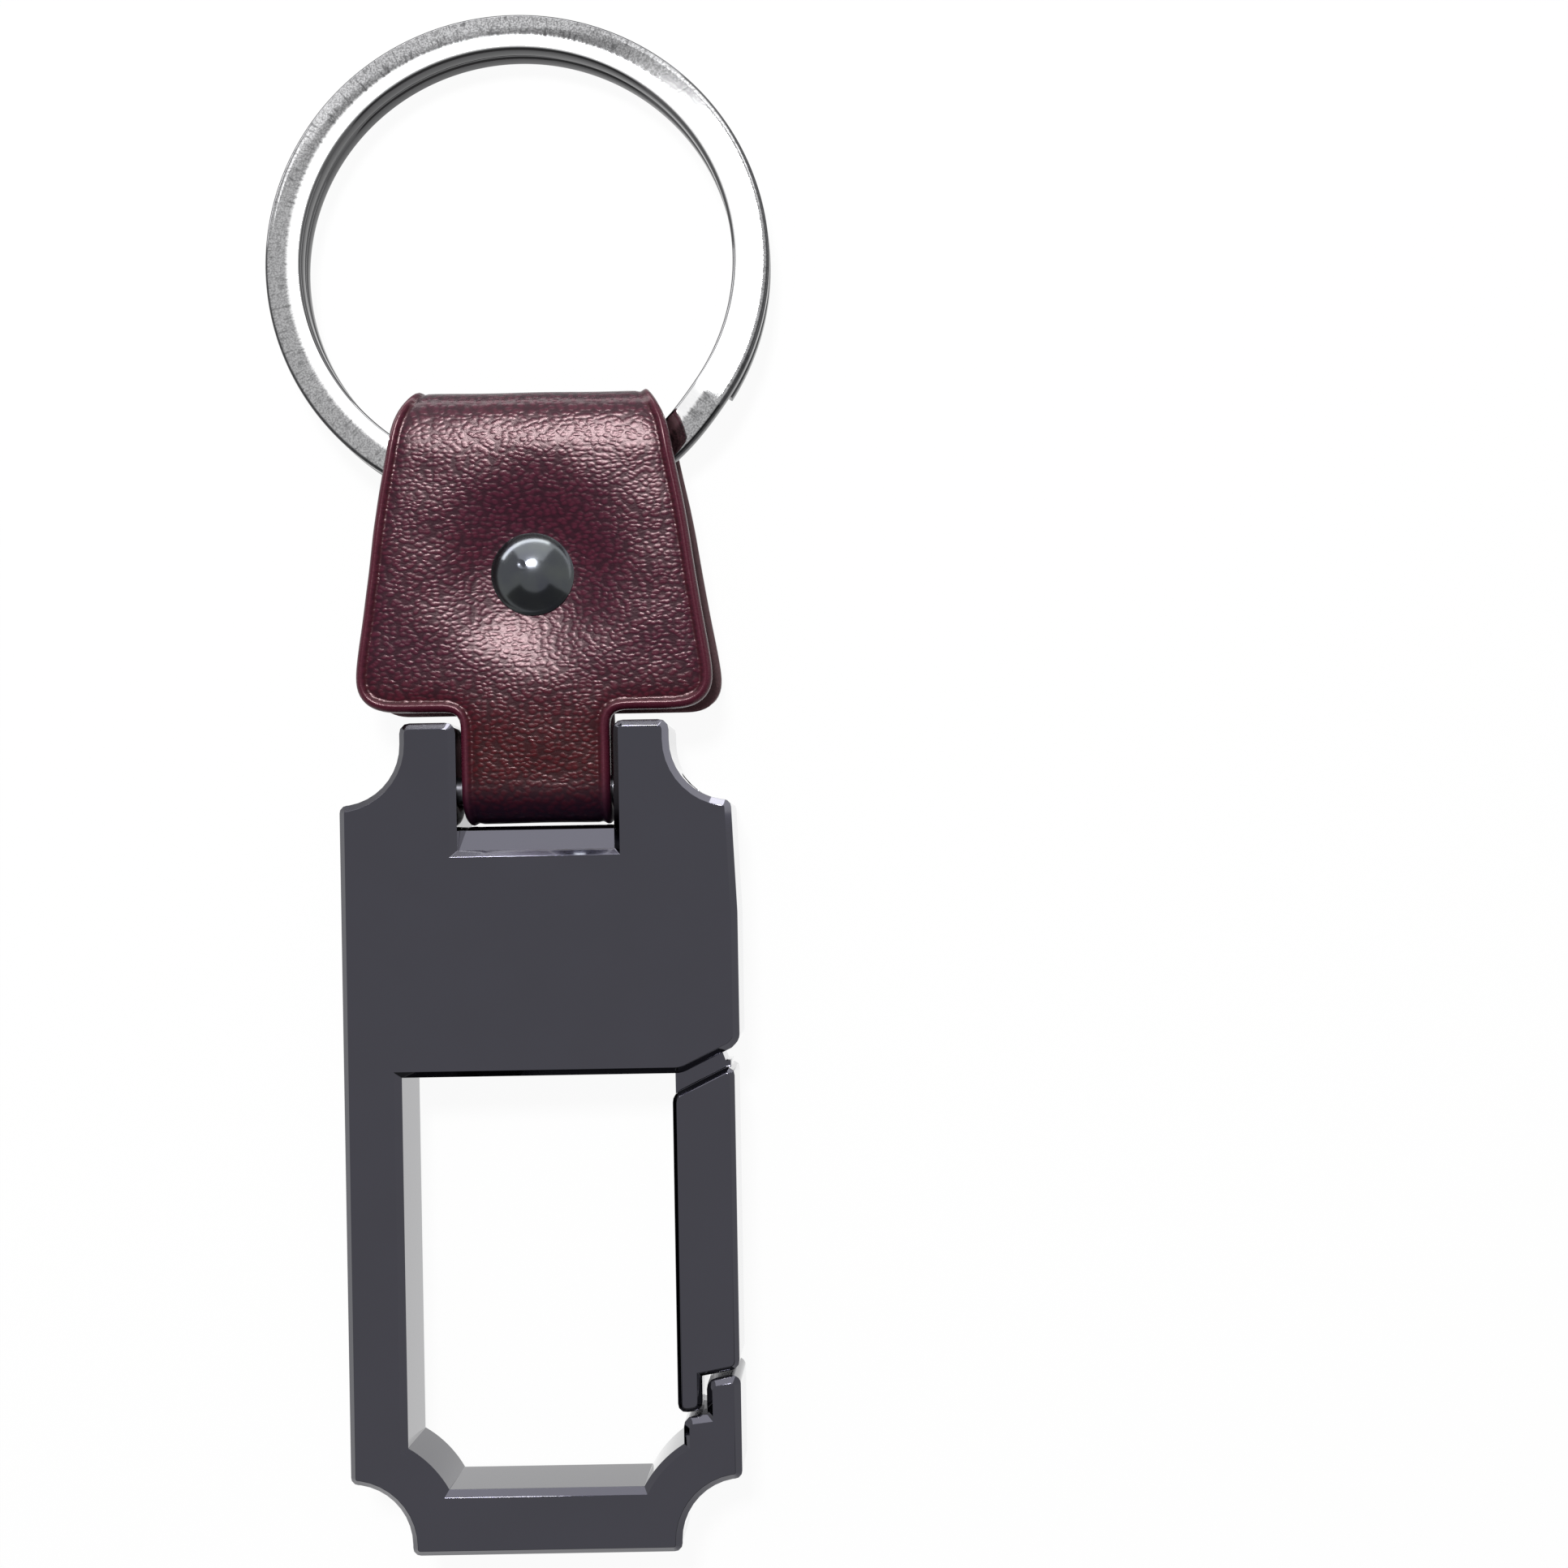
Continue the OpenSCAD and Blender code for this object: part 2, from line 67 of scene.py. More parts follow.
def box_mm(node):
    """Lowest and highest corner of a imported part, in millimetres."""
    low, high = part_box(node)
    return Vector(low) / MM, Vector(high) / MM


def smooth(value):
    """A smooth step from 0 to 1, for numbers and arrays."""
    value = np.clip(value, 0, 1)
    return value * value * (3 - 2 * value)


def ridge(value, middle, reach):
    """1 at the middle, falling smoothly to nothing over about twice the reach on either side."""
    return np.exp(-((value - middle) / reach) ** 2)


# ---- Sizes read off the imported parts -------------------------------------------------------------
BODY_TOP = box_mm("carabiner_body")[1].z
STRAP_LOW, STRAP_HIGH = box_mm("leather_strap")
CAP_LOW, CAP_HIGH = box_mm("rivet_cap")
BASE_LOW, BASE_HIGH = box_mm("rivet_base")
BAR_LOW, BAR_HIGH = box_mm("strap_bar")
SPRING_LOW, SPRING_HIGH = box_mm("gate_spring")
MID_Z = BODY_TOP / 2
RIVET_Y = (CAP_LOW.y + CAP_HIGH.y) / 2
BAR_Y = (BAR_LOW.y + BAR_HIGH.y) / 2

# ---- Sizes of the leather ------------------------------------------------------------------------
LEATHER = 1.1
LAYER = 1.08  # from one layer's middle to the next where the rivet presses them
WRAP_R = BAR_Y - STRAP_LOW.y - LEATHER / 2
FOLD_R = (STRAP_HIGH.z - STRAP_LOW.z) / 2 - LEATHER / 2
FOLD_TILT = 13.5  # degrees that the panels slope towards each other where the fold begins
FOLD_RUN = 2.6  # the length over which that slope comes in
FOLD_SLOPE = math.tan(math.radians(FOLD_TILT))
TIP_R = (FOLD_R - FOLD_RUN * FOLD_SLOPE / 2) / math.cos(math.radians(FOLD_TILT))
FOLD_Y = STRAP_HIGH.y - TIP_R - LEATHER / 2
TIP_FROM = FOLD_Y + TIP_R * math.sin(math.radians(FOLD_TILT))
LINING_PAST = 1.9  # how far the lining's end goes past the rivet
LINING_FLAT = 4.7  # how far before the rivet the lining lies level
TONGUE = 4.65  # half the width of the part that goes round the bar
SHOULDER_Y = 15.75
BACK_DRIFT = 0.35  # how far the back panel's end lies to the right of the front's
BACK_DRIFT_RUN = 18
POST_HOLE = 1.26
PULL_FLAT = 2.0  # radius that the rivet presses flat
PULL_REACH = 3.1
CUT_ROUND = 0.36
BEAD_AT, BEAD_REACH, BEAD_HEIGHT = 0.34, 0.2, 0.1  # the raised line along the cut edge
DIP_AT, DIP_REACH, DIP_DEPTH = 0.72, 0.16, 0.06  # the pressed line beside it
PAINT_TO, PAINT_FADE = 0.42, 0.16
SEAM_AT, SEAM_REACH = 0.66, 0.11  # the dark line where the paint ends

# ---- Sizes of the split ring, and of the groove that it presses into the leather -----------------
RING_D = 32.0
WIRE_W = 2.35
WIRE_T = 1.06
WIRE_ROUND = 0.3
INNER_FALL, INNER_FALL_FROM = 0.04, 0.25
OUTER_FALL, OUTER_FALL_FROM = 0.01, 0.3
TURN_GAP = 0.08
CROSS_AT = 35.0  # degrees below the ring's right where the wire starts to come down a level
CROSS_L = 22.0  # degrees that it takes to come down
END_GAP = 2.0  # degrees from each end of the wire to the crossover
BAND_R = 14.6  # where the etched band begins
RING_X = -0.9
RING_Y = 44.42
PIVOT_Y = 29.72
RING_TILT = 2.76
RING_STEPS = 480
GROOVE_Y = RING_Y - RING_D / 2 + 0.2
GROOVE_DEPTH = 0.36
GROOVE_REACH_Y = 1.4
GROOVE_REACH_X = 4.5

# ---- Sizes of the rivet's heads ------------------------------------------------------------------
CAP_HEIGHT = 1.2
BASE_HEIGHT = 0.85
DENT_X, DENT_Y = -0.5, 0.42

# ---- Sizes of the gate's spring ------------------------------------------------------------------
SPRING_WIRE = 0.35
SPRING_CURLS = 7
SPRING_CURL_STEPS = 32


# ==== Mixing materials ============================================================================
class Wire:
    """One socket of a node tree, with the sums that the finishes and the wires' paths are written in."""

    def __init__(self, tree, socket):
        self.tree, self.socket = tree, socket

    def math(self, operation, *others):
        return add(self.tree, "ShaderNodeMath", {"operation": operation},
                   dict(enumerate((self, *others))))

    def __add__(self, other):
        return self.math("ADD", other)

    def __sub__(self, other):
        return self.math("SUBTRACT", other)

    def __rsub__(self, other):
        return add(self.tree, "ShaderNodeMath", {"operation": "SUBTRACT"}, {0: other, 1: self})

    def __mul__(self, other):
        return self.math("MULTIPLY", other)

    def __truediv__(self, other):
        return self.math("DIVIDE", other)

    __radd__ = __add__
    __rmul__ = __mul__


def add(tree, kind, settings=None, sockets=None, out=0):
    """Adds a node: its settings first, then the values or wires of its sockets. Gives back one output."""
    node = tree.nodes.new(kind)
    for name, value in (settings or {}).items():
        setattr(node, name, value)
    for name, value in (sockets or {}).items():
        socket = node.inputs[name]
        if isinstance(value, Wire):
            tree.links.new(value.socket, socket)
        else:
            socket.default_value = value
    return Wire(tree, node.outputs[out]) if len(node.outputs) else node


def sRGB(red, green, blue):
    """A colour written as a painter's 0 to 255, as linear values."""
    return tuple((v / 255 / 12.92) if v <= 10.3 else ((v / 255 + 0.055) / 1.055) ** 2.4
                 for v in (red, green, blue)) + (1.0,)


class Finish:
    """A material whose nodes are added one by one."""

    def __init__(self, name):
        self.material = bpy.data.materials.new(name)
        self.material.use_nodes = True
        self.tree = self.material.node_tree
        self.tree.nodes.clear()

    def add(self, kind, settings=None, sockets=None, out=0):
        return add(self.tree, kind, settings, sockets, out)

    def place(self):
        return self.add("ShaderNodeTexCoord", out="Object")

    def plan(self):
        return self.add("ShaderNodeTexCoord", out="UV")

    def part(self, vector, axis):
        return self.add("ShaderNodeSeparateXYZ", {}, {0: vector}, out=axis)

    def mask(self, name):
        """A value from 0 to 1 that the mesh carries on its points."""
        return self.add("ShaderNodeAttribute", {"attribute_name": name}, out="Fac")

    def scaled(self, vector, factors):
        return self.add("ShaderNodeVectorMath", {"operation": "MULTIPLY"}, {0: vector, 1: factors})

    def noise(self, vector, scale, detail=2.0, roughness=0.5, out=0):
        return self.add("ShaderNodeTexNoise", {},
                        {"Vector": vector, "Scale": scale, "Detail": detail, "Roughness": roughness}, out)

    def step(self, value, low, high):
        """0 below low, 1 above high, smooth between them."""
        return self.add("ShaderNodeMapRange", {"interpolation_type": "SMOOTHSTEP"},
                        {"Value": value, "From Min": low, "From Max": high})

    def blend(self, factor, first, second):
        return self.add("ShaderNodeMix", {"data_type": "RGBA"}, {0: factor, 6: first, 7: second}, out=2)

    def bump(self, height, depth_mm, strength=1.0):
        return self.add("ShaderNodeBump", {},
                        {"Height": height, "Distance": depth_mm * MM, "Strength": strength})

    def surface(self, **sockets):
        shader = self.add("ShaderNodeBsdfPrincipled", {}, sockets)
        self.add("ShaderNodeOutputMaterial", {}, {"Surface": shader})
        return self.material


def black_nickel():
    """Polished black nickel under a clear lacquer: nearly flat, with faint polishing waves."""
    f = Finish("black_nickel_polished")
    place = f.place()
    haze = f.noise(place, 260.0, 3.0)
    waves = f.noise(f.scaled(place, (1.0, 0.25, 1.0)), 420.0, 2.0)
    return f.surface(**{"Base Color": f.blend(haze, sRGB(35, 34, 46), sRGB(39, 38, 51)), "Metallic": 1.0,
                        "Coat Weight": 1.0, "Coat Roughness": 0.04,
                        "Roughness": 0.07 + haze * 0.04,
                        "Normal": f.bump(waves, 0.003, 0.5)})


def ring_steel():
    """Nickel-plated steel wire: an etched grey band on its outer part and bright inside, with painted
    reflections: dark at its rounded corners, and the band painted darker from the ring's left side over the
    top."""
    f = Finish("ring_steel")
    place = f.place()
    across = f.part(f.plan(), "Y") * PLAN_UNIT
    around = f.part(f.plan(), "X") * (PLAN_UNIT * 2 / RING_D)
    # Painted reflection: the share of the ring, from its left side over the top, whose band is coloured darker
    painted_dark_side = f.step(around, 2.3, 3.1) * (1 - f.step(around, 4.0, 4.5))
    off_middle = (across - (RING_D - WIRE_W) / 2).math("ABSOLUTE", 0)
    # Painted reflection: the wire's rounded corners are coloured dark, as the dark surroundings mirror there
    corner = f.step(off_middle, WIRE_W / 2 - 0.26, WIRE_W / 2 - 0.14)
    sparkle = f.noise(place, 9000.0, 2.0, 0.6)
    streak = f.noise(f.scaled(f.plan(), (4.0, 1.0, 1.0)), 110.0, 3.0, 0.6)
    outer = f.step(across + (streak - 0.5) * 0.5, BAND_R - 0.14, BAND_R + 0.14)
    etched = f.blend(f.step(sparkle, 0.3, 0.7), sRGB(132, 132, 133), sRGB(180, 180, 181))
    # The band's painted darker colour on that side, a painted reflection
    painted_darker_band = f.blend(f.step(sparkle, 0.35, 0.65), sRGB(72, 72, 73), sRGB(116, 116, 117))
    band = f.blend(painted_dark_side * 0.85, etched, painted_darker_band)
    # Dark streaks at random, deeper on the side with the painted reflection
    band = f.blend(f.step(streak, 0.54, 0.66) * (0.5 + painted_dark_side * 0.35), band, sRGB(62, 62, 63))
    bright = f.blend(streak, sRGB(236, 236, 237), sRGB(250, 250, 250))
    # The corners take their painted dark reflection over the bright and band colours
    colour = f.blend(corner * 0.92, f.blend(outer, bright, band), sRGB(40, 40, 42))
    return f.surface(**{"Base Color": colour, "Metallic": 1.0,
                        "Roughness": 0.05 + streak * 0.02,
                        "Normal": f.bump(sparkle * outer, 0.0008, 0.5)})


def plain_steel(name, colour, roughness):
    """Plain steel with faint lines from side to side."""
    f = Finish(name)
    drawn = f.noise(f.scaled(f.place(), (0.1, 1.0, 1.0)), 2400.0, 2.0)
    darker = tuple(c * 0.86 for c in colour[:3]) + (1.0,)
    return f.surface(**{"Base Color": f.blend(drawn, colour, darker), "Metallic": 1.0,
                        "Roughness": roughness + drawn * 0.1,
                        "Normal": f.bump(drawn, 0.006, 0.4)})


def rivet_metal():
    """Gunmetal plating on the rivet's heads, a little uneven from the setting tool."""
    f = Finish("rivet_gunmetal")
    place = f.place()
    patch = f.noise(place, 520.0, 3.0)
    return f.surface(**{"Base Color": f.blend(patch, sRGB(56, 56, 70), sRGB(84, 88, 84)), "Metallic": 1.0,
                        "Roughness": 0.13 + patch * 0.06,
                        "Normal": f.bump(f.noise(place, 1400.0, 2.0), 0.008, 0.4)})


def grain_leather():
    """Embossed burgundy leather: round pebbles in fine creases and a painted rim, with painted shade in the
    creases, on the darker, redder tongue, and in navy where the tongue turns round the bar.
    """
    f = Finish("leather_burgundy")
    plan = f.scaled(f.plan(), (PLAN_UNIT, PLAN_UNIT, 1.0))
    drift = f.add("ShaderNodeVectorMath", {"operation": "SUBTRACT"},
                  {0: f.noise(plan, 1.1, 2.0, out="Color"), 1: (0.5, 0.5, 0.5)})
    warped = f.add("ShaderNodeVectorMath", {"operation": "MULTIPLY_ADD"},
                   {0: drift, 1: (0.4, 0.4, 0.0), 2: plan})
    pebbles = f.add("ShaderNodeTexVoronoi", {"feature": "SMOOTH_F1", "voronoi_dimensions": "2D"},
                    {"Vector": f.scaled(warped, (0.72, 1.2, 1.0)), "Scale": 3.0, "Smoothness": 0.5,
                     "Randomness": 0.9})
    wave = f.noise(f.scaled(warped, (0.62, 1.25, 1.0)), 2.2, 1.5, 0.5)
    furrow = f.step((wave - 0.5).math("ABSOLUTE", 0), 0.0, 0.17)
    crowns = (1 - f.step(pebbles, 0.1, 0.6)) * 0.8 + furrow * 0.2
    fine = f.noise(f.scaled(plan, (0.7, 1.2, 1.0)), 7.0, 3.0, 0.6)
    patch = f.noise(plan, 0.3, 2.0)
    panel = f.step(f.part(plan, "Y"), FRONT_FROM + 2.5, FRONT_FROM + 9.0)
    rim, seam, shade = f.mask("rim"), f.mask("seam"), f.mask("shade")
    # Painted shade: the tongue's colours are darker and redder than the panel's, where it goes down into the
    # slot
    crown = f.blend(panel, sRGB(64, 2, 12), f.blend(patch, sRGB(64, 19, 40), sRGB(74, 21, 38)))
    # Painted shade: the creases between the pebbles are coloured darker than their crowns
    crease = f.blend(panel, sRGB(30, 0, 4), sRGB(34, 6, 21))
    painted = f.blend(fine, sRGB(58, 14, 28), sRGB(80, 30, 46))
    colour = f.blend(rim, f.blend(crowns, crease, crown), painted)
    colour = f.blend(seam, colour, sRGB(48, 4, 14))
    # Painted shade: navy where the tongue turns round the bar
    colour = f.blend(shade, colour, sRGB(10, 5, 22))
    height = crowns * (1 - rim * 0.8) + fine * 0.2
    return f.surface(**{"Base Color": colour, "Roughness": 0.23 + fine * 0.08 + shade * 0.2,
                        "Specular IOR Level": 0.15, "Specular Tint": (1.0, 0.74, 0.76, 1.0),
                        "Normal": f.bump(height, 0.0145)})


def suede():
    """The flesh side of the leather."""
    f = Finish("leather_flesh_side")
    nap = f.noise(f.place(), 4200.0, 4.0, 0.7)
    return f.surface(**{"Base Color": f.blend(nap, sRGB(58, 30, 36), sRGB(86, 50, 56)),
                        "Roughness": 0.9, "Normal": f.bump(nap, 0.05, 0.6)})


# ==== Making meshes ===============================================================================
def placed(name, data):
    """A new object in the scene."""
    piece = bpy.data.objects.new(name, data)
    bpy.context.scene.collection.objects.link(piece)
    return piece


def keep_mesh(name, mesh, body, node):
    """Puts a finished mesh in the scene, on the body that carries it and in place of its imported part."""
    piece = placed(name, mesh)
    if body:
        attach(piece, body)
    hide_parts(node)
    return piece


def finished(piece):
    """The piece's mesh as its modifiers leave it, with the modifiers gone."""
    bpy.context.view_layer.update()
    mesh = bpy.data.meshes.new_from_object(piece.evaluated_get(bpy.context.evaluated_depsgraph_get()))
    name = piece.name
    bpy.data.objects.remove(piece)
    mesh.name = name
    return mesh


def faced_outwards(mesh, split_angle, weld=0.0):
    """Joins points nearer than weld, turns every face outwards, and shades smooth up to the split angle."""
    work = bmesh.new()
    work.from_mesh(mesh)
    if weld:
        bmesh.ops.remove_doubles(work, verts=work.verts, dist=weld * MM)
    bmesh.ops.recalc_face_normals(work, faces=work.faces)
    work.to_mesh(mesh)
    work.free()
    mesh.shade_smooth()
    mesh.set_sharp_from_angle(angle=math.radians(split_angle))
    return mesh


def lay_out(mesh, name, plan):
    """Gives a mesh a UV map from the place of each of its points in a flat plan, in millimetres."""
    layer = mesh.uv_layers.get(name) or mesh.uv_layers.new(name=name)
    corner_points = np.zeros(len(mesh.loops), np.int32)
    mesh.loops.foreach_get("vertex_index", corner_points)
    layer.data.foreach_set("uv", (plan / PLAN_UNIT)[corner_points].astype(np.float32).ravel())


def broken_edges(node, finish, width_mm, sharp=24.0):
    """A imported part's skin joined up again, with its sharp edges rounded as polishing leaves them."""
    skin = bmesh.new()
    skin.from_mesh(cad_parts[node].data)
    bmesh.ops.remove_doubles(skin, verts=skin.verts, dist=WELD * MM)
    bmesh.ops.dissolve_limit(skin, angle_limit=math.radians(0.4), verts=skin.verts, edges=skin.edges,
                             delimit={"NORMAL"})
    mesh = bpy.data.meshes.new(node + "_skin")
    skin.to_mesh(mesh)
    skin.free()
    mesh.materials.clear()
    mesh.materials.append(finish)
    mesh.shade_smooth()
    mesh.set_sharp_from_angle(angle=math.radians(sharp))
    piece = placed(node + "_polished", mesh)
    bevel = piece.modifiers.new("broken edges", "BEVEL")
    bevel.width, bevel.segments = width_mm * MM, 3
    bevel.limit_method, bevel.angle_limit = "ANGLE", math.radians(sharp)
    bevel.use_clamp_overlap = True
    level = piece.modifiers.new("level faces", "WEIGHTED_NORMAL")
    level.weight, level.keep_sharp = 100, True
    return finished(piece)


def turned(name, profile, centre, finish, shape, steps=96):
    """A lathe-turned piece: profile is (radius, height) from the top pole down to the foot, and shape
    changes its points before they go to the centre."""
    turns = np.linspace(0, 2 * math.pi, steps, False)
    rings = shape(np.array([[(r * math.cos(a), r * math.sin(a), h) for a in turns] for r, h in profile]))
    verts = [tuple(p) for ring in rings + np.array(centre) for p in ring * MM]
    faces = [(low + i, high + i, high + (i + 1) % steps, low + (i + 1) % steps)
             for low, high in ((k * steps, (k + 1) * steps) for k in range(len(profile) - 1))
             for i in range(steps)]
    mesh = bpy.data.meshes.new(name)
    mesh.from_pydata(verts, [], faces)
    mesh.materials.append(finish)
    return faced_outwards(mesh, 40, WELD)


# ==== The leather strap ===========================================================================
def panel_height(y):
    """Height of the front panel's middle above the strap's own middle, without the rivet's pull. It slopes
    down before the fold, where the leather starts to turn over."""
    droop = np.clip((y - TIP_FROM + FOLD_RUN) / FOLD_RUN, 0, 1) ** 2
    rise = smooth((y - BAR_Y) / (FOLD_Y - BAR_Y))
    return WRAP_R + (FOLD_R - WRAP_R) * rise - FOLD_SLOPE * FOLD_RUN / 2 * droop


def rivet_pull(u, y):
    """How far the rivet draws a panel in at (u, y)."""
    past_rivet = np.maximum(np.hypot(u, y - RIVET_Y) - PULL_FLAT, 0)
    return (panel_height(RIVET_Y) - LAYER) * ridge(past_rivet, 0, PULL_REACH)


def ring_groove(u, y):
    """How deep the ring has pressed into the flesh side of both panels at (u, y)."""
    return GROOVE_DEPTH * ridge(y, GROOVE_Y, GROOVE_REACH_Y) * ridge(u, 0, GROOVE_REACH_X)


def lining_height(y):
    """Height of the lining end, which rises from under the bar to the strap's own middle."""
    end = RIVET_Y - LINING_FLAT
    return -WRAP_R * smooth((end - y) / (end - BAR_Y))


def strap_line(step=0.08, turn=3.0):
    """The strap's middle line in (y, height), from the lining's end round the bar, up the front, over the
    ring and down the back, and what share of the rivet's pull each point takes. With it go the length along
    it at each point, and the number of the point at which each of its five stretches starts."""
    lining = np.arange(RIVET_Y + LINING_PAST, BAR_Y, -step)
    around = np.radians(np.arange(270, 90, -turn))
    front = np.arange(BAR_Y, TIP_FROM, step)
    over = np.radians(np.arange(90 - FOLD_TILT, FOLD_TILT - 90, -turn))
    back = np.arange(TIP_FROM, SHOULDER_Y - 0.01, -step)
    back_height = np.minimum(-panel_height(back), lining_height(back) - LAYER)
    stretches = [
        (lining, lining_height(lining), 0.0),
        (BAR_Y + WRAP_R * np.cos(around), WRAP_R * np.sin(around), 0.0),
        (front, panel_height(front), 1.0),
        (FOLD_Y + TIP_R * np.cos(over), TIP_R * np.sin(over), 0.0),
        (back, back_height, 1.0)]
    line = np.array([(y, h, pull) for ys, hs, pull in stretches for y, h in zip(ys, hs)])
    along = np.concatenate([[0], np.cumsum(np.hypot(*np.diff(line[:, :2], axis=0).T))])
    marks = np.cumsum([0] + [len(ys) for ys, _, _ in stretches])
    return line, along, marks


LINE, ALONG, MARKS = strap_line()
LINING, FRONT, BACK = (slice(MARKS[i], MARKS[i + 1]) for i in (0, 2, 4))
WRAP_FROM, FRONT_FROM, FRONT_TO, BACK_FROM = ALONG[MARKS[1:5]]

# Half the lining end's width at each length from its cut
LINING_EDGE = [(3.4, 0.0), (4.2, 0.3), (4.6, 1.0), (TONGUE, 2.0)]
# Half the panel's width at each height, from the tongue's fillet round the corner to the fold
PANEL_EDGE = [
    (4.65, 15.1), (4.68, 15.32), (4.76, 15.5), (4.9, 15.64), (5.1, 15.72), (5.4, 15.75), (8.6, 15.75),
    (9.4, 15.8), (9.95, 15.94), (10.45, 16.2), (10.82, 16.58), (11.06, 17.05), (11.16, 17.6),
    (11.12, 18.4), (10.95, 19.6), (10.55, 22.0), (10.2, 24.3), (9.8, 27.2), (9.5, 29.0), (9.1, 31.0),
    (8.8, 32.6), (8.62, 33.5), (8.47, 34.0)]
# The same over the fold: half the width at each angle that the leather has turned through
FOLD_EDGE = [(8.3, 20.0), (8.15, 27.0), (7.8, 49.0), (7.5, 70.0), (7.42, 90.0)]
# Loops of points inside the outline and round each hole, close together where the edge is rounded
OUTLINE_DEPTHS = [0.0, 0.05, 0.12, 0.2, 0.28, 0.36, 0.44, 0.52, 0.6, 0.7, 0.82, 1.0]
HOLE_DEPTHS = [0.0, 0.15, 0.4]


def length_at(stretch, y):
    """The length along the strap at which one of its flat stretches passes y."""
    ys = LINE[stretch, 0]
    way = 1 if ys[-1] > ys[0] else -1
    return float(np.interp(way * y, way * ys, ALONG[stretch]))


def strap_outline():
    """The flat strap's outline in (across, along), anticlockwise, before it is bent."""
    lining = [(w, ALONG[0] + s) for w, s in LINING_EDGE]
    front = [(w, length_at(FRONT, y)) for w, y in PANEL_EDGE]
    fold = [(w, FRONT_TO + TIP_R * math.radians(a - FOLD_TILT)) for w, a in FOLD_EDGE]
    fold += [(w, FRONT_TO + TIP_R * math.radians(180 - a - FOLD_TILT)) for w, a in FOLD_EDGE[-2::-1]]
    back = [(w, length_at(BACK, y)) for w, y in PANEL_EDGE[::-1] if y >= SHOULDER_Y]
    right = lining + front + fold + back
    left = [(-w, s) for w, s in right[::-1]]
    return resampled(np.array(right + left), step=0.3)


def post_holes(corners=40):
    """The holes for the rivet's post in the flat lining, front and back, clockwise."""
    turn = np.linspace(0, 2 * math.pi, corners, False)[::-1]
    ring = POST_HOLE * np.stack([np.cos(turn), np.sin(turn)], axis=1)
    return [ring + np.array([0, length_at(stretch, RIVET_Y)]) for stretch in (LINING, FRONT, BACK)]


def resampled(points, step):
    """A closed outline at even steps, its corners kept round."""
    closed = np.vstack([points, points[:1]])
    length = np.concatenate([[0], np.cumsum(np.hypot(*np.diff(closed, axis=0).T))])
    at = np.linspace(0, length[-1], int(length[-1] / step), False)
    even = np.stack([np.interp(at, length, closed[:, i]) for i in (0, 1)], axis=1)
    for _ in range(3):
        even = (np.roll(even, 1, 0) + 2 * even + np.roll(even, -1, 0)) / 4
    return even


def drawn_in(points, distance):
    """A closed outline moved to its left: inwards where it runs anticlockwise, outwards round a hole."""
    ahead = np.roll(points, -1, 0) - np.roll(points, 1, 0)
    ahead /= np.linalg.norm(ahead, axis=1)[:, None]
    return points + distance * np.stack([-ahead[:, 1], ahead[:, 0]], axis=1)


def inside(points, outline):
    """Which points lie inside a closed outline."""
    x, y = points[:, 0][:, None], points[:, 1][:, None]
    a, b = outline, np.roll(outline, -1, 0)
    crosses = (a[:, 1] > y) != (b[:, 1] > y)
    with np.errstate(divide="ignore", invalid="ignore"):
        reach = a[:, 0] + (y - a[:, 1]) * (b[:, 0] - a[:, 0]) / (b[:, 1] - a[:, 1])
    return (crosses & (x < reach)).sum(1) % 2 == 1


def edge_distance(points, outlines, batch=2000):
    """How far each point lies from the nearest cut edge."""
    nearest = np.full(len(points), np.inf)
    for a in outlines:
        ab = np.roll(a, -1, 0) - a
        for start in range(0, len(points), batch):
            part = slice(start, start + batch)
            ap = points[part][:, None] - a[None]
            t = np.clip((ap * ab).sum(2) / (ab * ab).sum(1), 0, 1)
            gap = np.linalg.norm(ap - t[..., None] * ab, axis=2).min(1)
            nearest[part] = np.minimum(nearest[part], gap)
    return nearest


def filling(outline, holes, pitch=0.4, row_pitch=0.3464, from_outline=1.22, from_hole=0.55):
    """Points in staggered rows over the flat strap, clear of the loops along its edges."""
    rows = np.arange(ALONG[0], ALONG[-1], row_pitch)
    grid = np.array([(u, s) for row, s in enumerate(rows)
                     for u in np.arange(-11.4 + (row % 2) * pitch / 2, 11.5, pitch)])
    grid = grid[inside(grid, outline)]
    grid = grid[edge_distance(grid, [outline]) > from_outline]
    for hole in holes:
        grid = grid[np.linalg.norm(grid - hole.mean(0), axis=1) > POST_HOLE + from_hole]
    return grid


def cut_flat(outline, holes, least=1e-6):
    """The flat strap as points and as triangles that all turn anticlockwise, without the slivers."""
    loops = [drawn_in(outline, depth) for depth in OUTLINE_DEPTHS]
    loops += [drawn_in(hole, depth) for hole in holes for depth in HOLE_DEPTHS]
    edges, first = [], 0
    for loop in loops:
        edges += [(first + i, first + (i + 1) % len(loop)) for i in range(len(loop))]
        first += len(loop)
    points = np.vstack(loops + [filling(outline, holes)])
    flat, _, triangles, *_ = delaunay_2d_cdt([Vector(p) for p in points], edges, [], 0, 1e-5)
    flat = np.array([tuple(p) for p in flat])
    triangles = np.array([t for t in triangles if len(t) == 3])
    middles = flat[triangles].mean(1)
    keep = inside(middles, outline)
    for hole in holes:
        keep &= ~inside(middles, hole)
    triangles = triangles[keep]
    a, b, c = (flat[triangles[:, i]] for i in range(3))
    turn = (b - a)[:, 0] * (c - a)[:, 1] - (b - a)[:, 1] * (c - a)[:, 0]
    triangles, turn = triangles[np.abs(turn) > least], turn[np.abs(turn) > least]
    triangles[turn < 0] = triangles[turn < 0][:, ::-1]
    return flat, triangles


